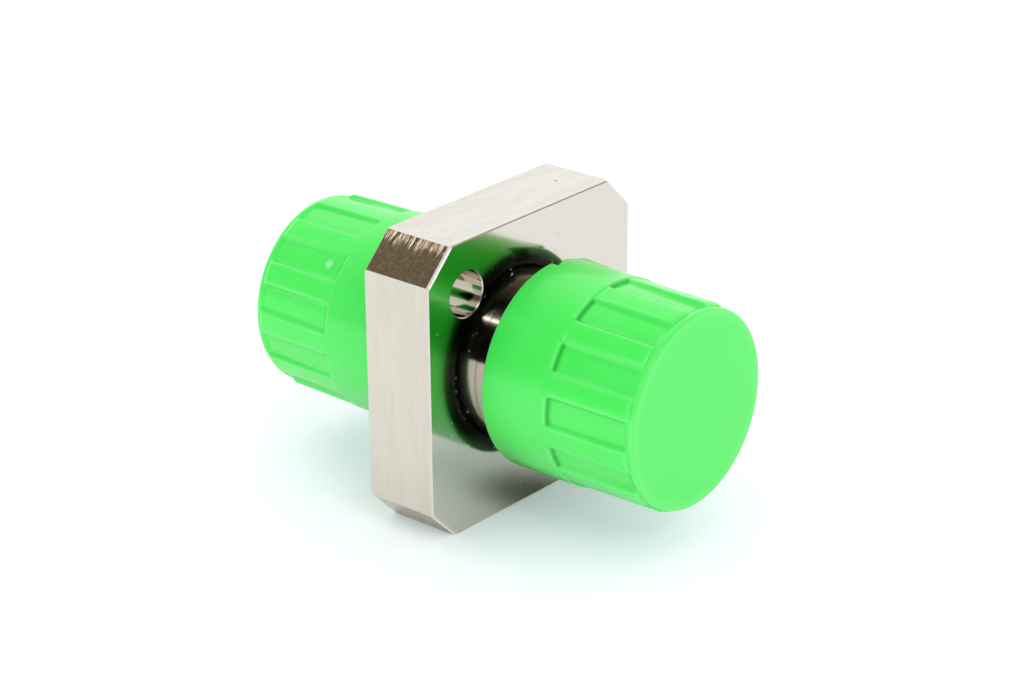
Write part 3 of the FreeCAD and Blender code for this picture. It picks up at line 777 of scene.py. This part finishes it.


# %% [markdown]
# ## Nickel plate on the flange and barrels
# The body is turned and milled brass with a bright nickel plate. Its faces don't look alike: the front
# and rear are polished to a mirror, the four sides are satin from milling, the cut corners show brushed
# lines across them, and the barrels have fine rings from the lathe. One material can do all of this,
# because the place on the piece tells which face a point is on. Masks worked out from the place and the
# normal choose the roughness, the lines and the tint. The tint also holds painted light: a dark
# reflection and a golden glint on the upper cut corners, a white highlight on the bevels, whiter top and
# bottom faces, darker barrels and a green tint on the dust.

# %% Plated body material
NICKEL = (0.72, 0.69, 0.635, 1)
NICKEL_WARM = (0.66, 0.62, 0.54, 1)
NICKEL_SIDE = (0.73, 0.69, 0.62, 1)
NICKEL_TOP = (0.735, 0.73, 0.715, 1)
NICKEL_CORNER_DARK_REFLECTION = (0.39, 0.335, 0.25, 1)
PAINTED_GLINT = (1.0, 0.87, 0.70, 1)
NICKEL_EDGE = (0.80, 0.70, 0.62, 1)
NICKEL_BEVEL_HIGHLIGHT = (0.84, 0.82, 0.80, 1)
NICKEL_BARREL_SHADE = (0.36, 0.335, 0.24, 1)
CORNER_DARK = (0.30, 0.27, 0.22, 1)
CORNER_LIGHT = (0.68, 0.62, 0.50, 1)
DUST_GREEN_LIT = (0.62, 0.72, 0.60, 1)
PIT = (0.10, 0.085, 0.06, 1)
# What tells the faces apart, in millimetres. The sides lie 7 mm from the axis, and a cut corner is where
# |y| + |z| less the inset is 7 mm too. Then come the barrel, the screw holes and the ring where dust lies.
SIDE_FROM = 6.9
CUT_INSET = 5.5
BARREL_TO = 4.1
HOLE_FROM = 5.0
DUST_RING = 5.0
PLATE_ROUGHNESS = 0.045


def make_plated_body():
    """Nickel plate whose roughness, lines and marks follow the face that they are on."""
    material, tree, shader, place = new_material("nickel_plate_milled")
    y, z = split(tree, place)[1:]
    normal = add_node(tree, "TexCoord").outputs["Normal"]
    nx, ny, nz = (calc(tree, "ABSOLUTE", part) for part in split(tree, normal))
    flat_end = calc(tree, "GREATER_THAN", nx, 0.98)
    ay, az = calc(tree, "ABSOLUTE", y), calc(tree, "ABSOLUTE", z)
    cut = calc(tree, "SUBTRACT", calc(tree, "ADD", ay, az), CUT_INSET)
    square = calc(tree, "MAXIMUM", calc(tree, "MAXIMUM", ay, az), cut)
    side = calc(tree, "GREATER_THAN", square, SIDE_FROM)
    slanting = calc(tree, "MULTIPLY", ramp(tree, nx, 0.1, 0.25), ramp(tree, nx, 0.95, 0.85))
    bevel = calc(tree, "MULTIPLY", side, slanting)
    side = calc(tree, "MULTIPLY", side, calc(tree, "LESS_THAN", nx, 0.15))
    corner = calc(tree, "MULTIPLY", side, ramp(tree, calc(tree, "MINIMUM", ny, nz), 0.4, 0.6))
    milled = calc(tree, "SUBTRACT", side, corner)
    from_axis = axis_distance(tree, y, z)
    barrel = calc(tree, "LESS_THAN", from_axis, BARREL_TO)

    # Lines along the sides, across the corners and around the barrels, each from its own stretched place.
    along_side = streaks(tree, place, 0.10, 7.0)
    across_corner = streaks(tree, place, 0.06, 9.0)
    rings = streaks(tree, place, 0.03, 16.0)
    mottle = noise(tree, place, 0.9, 3.0, Roughness=0.55)
    blotch = noise(tree, place, 3.2, 4.0, Roughness=0.6)

    # The upper cut corners were milled with a worn tool, which left their higher ends pulled over a little.
    up_corner = calc(tree, "MULTIPLY", calc(tree, "SUBTRACT", az, ay), 0.5)
    upper = calc(tree, "MULTIPLY", corner, calc(tree, "GREATER_THAN", z, 0.0))
    wide_streak = noise(tree, stretched(tree, place, (1.0, 0.25, 0.25)), 3.5, 3.0)
    pulled = ramp(tree, calc(tree, "MULTIPLY_ADD", wide_streak, 0.90, up_corner), 0.55, 1.30)
    pulled = calc(tree, "MULTIPLY", calc(tree, "MULTIPLY", pulled, pulled), upper)

    outer_part = calc(tree, "GREATER_THAN", from_axis, HOLE_FROM)
    hole_edge = calc(tree, "MULTIPLY", ramp(tree, nx, 0.05, 0.3), outer_part)
    hole_edge = calc(tree, "MULTIPLY", hole_edge, ramp(tree, nx, 0.98, 0.9))
    roughness = add_up(tree, PLATE_ROUGHNESS, [
        (flat_end, 0.055),
        (milled, 0.20),
        (corner, 0.13),
        (bevel, 0.28),
        (hole_edge, 0.25),
        (mottle, 0.03),
    ])

    # Dust gathers on the polished face, and most of it close around the barrel.
    dust = use_group(tree, SPECKS, Vector=place, Cells_per_mm=2.2, Share=0.12, Size=0.14)["Mask"]
    ring_zone = calc(tree, "ABSOLUTE", calc(tree, "SUBTRACT", from_axis, DUST_RING))
    ring_zone = ramp(tree, ring_zone, 1.5, 0.3)
    fine_dust = use_group(tree, SPECKS, Vector=place, Cells_per_mm=5.5, Share=0.20, Size=0.36)["Mask"]
    fine_dust = calc(tree, "MULTIPLY", calc(tree, "MULTIPLY", fine_dust, ring_zone), 0.7)
    dust = calc(tree, "MULTIPLY", calc(tree, "MAXIMUM", dust, fine_dust), flat_end)
    upright_place = stretched(tree, place, (1, 1, 0.6))
    pits = use_group(tree, SPECKS, Vector=upright_place, Cells_per_mm=1.5, Share=0.13, Size=0.11)["Mask"]
    hair = use_group(tree, HAIRLINES, Vector=place, Per_mm=0.5, Width=0.0016, Share=0.33)["Mask"]
    unscratched = calc(tree, "MAXIMUM", corner, ring_zone)
    hair = calc(tree, "MULTIPLY", hair, calc(tree, "SUBTRACT", 1.0, unscratched))
    marks = calc(tree, "MAXIMUM", dust, calc(tree, "MULTIPLY", hair, 0.35))

    # Painted reflection: the top and bottom faces are tinted whiter than the two sides.
    of_side = blend(tree, ramp(tree, nz, 0.4, 0.6), NICKEL_SIDE, NICKEL_TOP)
    tint = blend(tree, milled, NICKEL, of_side)
    # Painted light on the upper cut corners: a dark reflection, and a golden glint where their ends are
    # pulled over.
    tint = blend(tree, upper, tint, blend(tree, ramp(tree, pulled, 0.0, 0.30), NICKEL_CORNER_DARK_REFLECTION, PAINTED_GLINT))
    lined = calc(tree, "MULTIPLY", milled, ramp(tree, along_side, 0.42, 0.58, 0.0, 0.45))
    tint = blend(tree, lined, tint, NICKEL_WARM)
    tint = blend(tree, ramp(tree, mottle, 0.55, 0.75, 0.0, 0.25), tint, NICKEL_WARM)
    grain = noise(tree, place, 5.5, 4.0, Roughness=0.75)
    blotched = calc(tree, "MULTIPLY", corner, ramp(tree, blotch, 0.45, 0.66, 0.0, 0.5))
    tint = blend(tree, blotched, tint, CORNER_DARK)
    grained = calc(tree, "MULTIPLY", corner, ramp(tree, grain, 0.43, 0.64, 0.0, 0.55))
    tint = blend(tree, grained, tint, CORNER_LIGHT)
    tint = blend(tree, calc(tree, "MULTIPLY", bevel, 0.6), tint, NICKEL_EDGE)
    # A painted highlight on the bevels that lean towards the sides: near white, and less metallic.
    bevel_highlight = calc(tree, "MULTIPLY", bevel, ramp(tree, ny, 0.15, 0.45))
    tint = blend(tree, bevel_highlight, tint, NICKEL_BEVEL_HIGHLIGHT)
    # Painted shade darkens the barrels towards brown.
    tint = blend(tree, calc(tree, "MULTIPLY", barrel, 0.4), tint, NICKEL_BARREL_SHADE)
    tint = blend(tree, pits, tint, PIT)
    # Dust, with a painted green tint from the light of the caps.
    tint = blend(tree, marks, tint, DUST_GREEN_LIT)

    # Heights in millimetres. The pulled-over end and the pits lie below the plate, the lines above it.
    height = add_up(tree, 0.0, [
        (calc(tree, "MULTIPLY", milled, along_side), 0.0040),
        (calc(tree, "MULTIPLY", corner, across_corner), 0.0030),
        (pulled, -0.06),
        (calc(tree, "MULTIPLY", barrel, rings), 0.0007),
        (pits, -0.01),
    ])
    bump = add_node(tree, "Bump", Strength=1.0, Distance=MM, Height=height)

    plug(tree, shader.inputs["Base Color"], tint)
    dull = calc(tree, "MULTIPLY_ADD", bevel_highlight, 0.5, marks)
    plug(tree, shader.inputs["Metallic"], calc(tree, "SUBTRACT", 1.0, dull))
    plug(tree, shader.inputs["Roughness"], calc(tree, "MULTIPLY_ADD", marks, 0.6, roughness))
    plug(tree, shader.inputs["Normal"], bump.outputs[0])
    return material


finish_material(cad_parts["adapter_body"], make_plated_body())


# %% [markdown]
# ## The small turned pieces
# The sleeve holder and its ring are turned from the same plated metal, and only seen down the open
# barrel. They get the lathe's fine rings. The sleeve is ground zirconia: white, hard and a little glossy,
# with a very fine grain.

# %% Turned metal and ceramic
NICKEL_TURNED = (0.64, 0.61, 0.55, 1)
RING_DEPTH_MM = 0.0012
CERAMIC_LIGHT = (0.90, 0.89, 0.85, 1)
CERAMIC_DARK = (0.86, 0.85, 0.82, 1)


def make_turned_metal():
    """Nickel plate with rings around the optical axis."""
    material, tree, shader, place = new_material("nickel_plate_turned")
    rings = streaks(tree, place, 0.03, 18.0)
    y, z = split(tree, place)[1:]
    face_rings = add_node(tree, "TexNoise", {"noise_dimensions": "1D"}, W=axis_distance(tree, y, z),
                          Scale=14.0, Detail=3.0).outputs[0]
    height = calc(tree, "MULTIPLY", calc(tree, "ADD", rings, face_rings), RING_DEPTH_MM)
    bump = add_node(tree, "Bump", Strength=1.0, Distance=MM, Height=height)
    tint = blend(tree, ramp(tree, rings, 0.3, 0.7), NICKEL, NICKEL_TURNED)
    plug(tree, shader.inputs["Base Color"], tint)
    plug(tree, shader.inputs["Roughness"], ramp(tree, rings, 0.3, 0.7, 0.10, 0.20))
    plug(tree, shader.inputs["Normal"], bump.outputs[0])
    shader.inputs["Metallic"].default_value = 1.0
    return material


def make_ceramic():
    """White zirconia with a ground surface."""
    material, tree, shader, place = new_material("zirconia")
    grain = noise(tree, place, 22.0, 3.0)
    cloud = noise(tree, place, 1.2, 2.0)
    bump = add_node(tree, "Bump", Strength=0.5, Distance=0.002 * MM, Height=grain)
    plug(tree, shader.inputs["Base Color"], blend(tree, cloud, CERAMIC_LIGHT, CERAMIC_DARK))
    plug(tree, shader.inputs["Roughness"], ramp(tree, grain, 0.2, 0.8, 0.16, 0.28))
    plug(tree, shader.inputs["Normal"], bump.outputs[0])
    shader.inputs["IOR"].default_value = 1.9
    return material


turned_metal = make_turned_metal()
for node in ("sleeve_holder", "sleeve_retaining_ring"):
    finish_material(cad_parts[node], turned_metal)
finish_material(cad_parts["alignment_sleeve"], make_ceramic())


# %% [markdown]
# ## Soft green plastic
# The caps are moulded from soft polyethylene in a bright green. Light goes a little way into it, so its
# edges glow, and its surface is satin with a faint mottle from the mould. A touch of light scattering
# below the surface and painted highlights along the edges do the first, and a low, wide bump the second.

# %% Cap material
GREEN = (0.060, 0.91, 0.112, 1)
GREEN_DEEP = (0.050, 0.90, 0.096, 1)
GREEN_END = (0.050, 0.845, 0.098, 1)
GREEN_HIGHLIGHT_AND_SCRATCH = (0.32, 0.98, 0.36, 1)
GREEN_SHADE = (0.006, 0.45, 0.025, 1)
GREEN_ON_TABLE = (0.34, 0.62, 0.48, 1)
GREEN_IN_METAL = (0.010, 0.50, 0.010, 1)
RIM_SHADE_IN_METAL = (0.001, 0.004, 0.001, 1)
SPECK_GREEN = (0.02, 0.10, 0.02, 1)


def make_cap_plastic():
    """Satin green polyethylene with a mould's mottle, painted highlights and shade, and a few specks.

    A camera's sensor can't record so pure a green, and clips it. What the table and the plated metal show
    of the cap is a duller green in the photograph. The base colour is therefore chosen by the kind of ray
    that asks for it.
    """
    material, tree, shader, place = new_material("green_polyethylene")
    mottle = noise(tree, place, 0.7, 4.0, Roughness=0.6)
    skin = noise(tree, place, 9.0, 3.0, Roughness=0.6)
    edge, rim, foot = (add_node(tree, "Attribute", {"attribute_name": title}).outputs["Fac"]
                       for title in ("painted_edge_highlight", "rim_shade", "foot_shade"))
    specks = use_group(tree, SPECKS, Vector=place, Cells_per_mm=0.9, Share=0.10, Size=0.07)["Mask"]
    hair = use_group(tree, HAIRLINES, Vector=place, Per_mm=0.35, Width=0.0025, Share=0.42)["Mask"]

    x, _, z = split(tree, place)
    along = calc(tree, "ABSOLUTE", x)
    end_face = ramp(tree, along, end_x - 0.18, end_x - 0.02)
    tint = blend(tree, ramp(tree, mottle, 0.35, 0.65), GREEN_DEEP, GREEN)
    tint = blend(tree, end_face, tint, GREEN_END)
    # Painted highlights along the rib edges, the closed end, the skirt's edge, the rim and the gate mark.
    tint = blend(tree, calc(tree, "MULTIPLY", edge, 0.20), tint, GREEN_HIGHLIGHT_AND_SCRATCH)
    # Painted shade at each recess's foot.
    tint = blend(tree, calc(tree, "MULTIPLY", foot, 0.9), tint, GREEN_SHADE)
    hair = calc(tree, "MULTIPLY", hair, calc(tree, "MULTIPLY_ADD", end_face, -0.12, 0.15))
    # Hair scratches, in the same pale green.
    tint = blend(tree, hair, tint, GREEN_HIGHLIGHT_AND_SCRATCH)
    # Painted shade: close to the flange the skirt's underside gets little light, and is darkened there.
    low = calc(tree, "MULTIPLY", ramp(tree, z, -0.5, -3.5, 0.0, 0.45), ramp(tree, along, 5.0, 3.3))
    tint = blend(tree, low, tint, GREEN_SHADE)
    tint = blend(tree, specks, tint, SPECK_GREEN)
    path = add_node(tree, "LightPath")
    # What the metal mirrors of the cap: a duller green, and painted shade going to black at the rim.
    mirrored = blend(tree, rim, GREEN_IN_METAL, RIM_SHADE_IN_METAL)
    tint = blend(tree, path.outputs["Is Diffuse Ray"], tint, GREEN_ON_TABLE)
    tint = blend(tree, path.outputs["Is Glossy Ray"], tint, mirrored)

    height = calc(tree, "MULTIPLY_ADD", skin, 0.004, calc(tree, "MULTIPLY", mottle, 0.02))
    bump = add_node(tree, "Bump", Strength=0.5, Distance=MM, Height=height)
    plug(tree, shader.inputs["Base Color"], tint)
    # Light hardly gets in between the rim and the flange. In the metal's mirror the rim is therefore
    # painted black: a painted shade that only mirror-like rays see.
    black = calc(tree, "MULTIPLY", calc(tree, "MAXIMUM", rim, 0.35), path.outputs["Is Glossy Ray"])
    plug(tree, shader.inputs["Metallic"], black)
    plug(tree, shader.inputs["Roughness"], ramp(tree, mottle, 0.3, 0.7, 0.28, 0.38))
    plug(tree, shader.inputs["Normal"], bump.outputs[0])
    shader.inputs["IOR"].default_value = 1.55
    shader.inputs["Coat Weight"].default_value = 0.45
    shader.inputs["Coat Roughness"].default_value = 0.10
    shader.inputs["Subsurface Weight"].default_value = 0.2
    shader.inputs["Subsurface Radius"].default_value = (0.3, 1.0, 0.4)
    shader.inputs["Subsurface Scale"].default_value = 0.5 * MM
    return material


cap_plastic = make_cap_plastic()
for cap in (front_cap, rear_cap):
    finish_material(cap, cap_plastic)
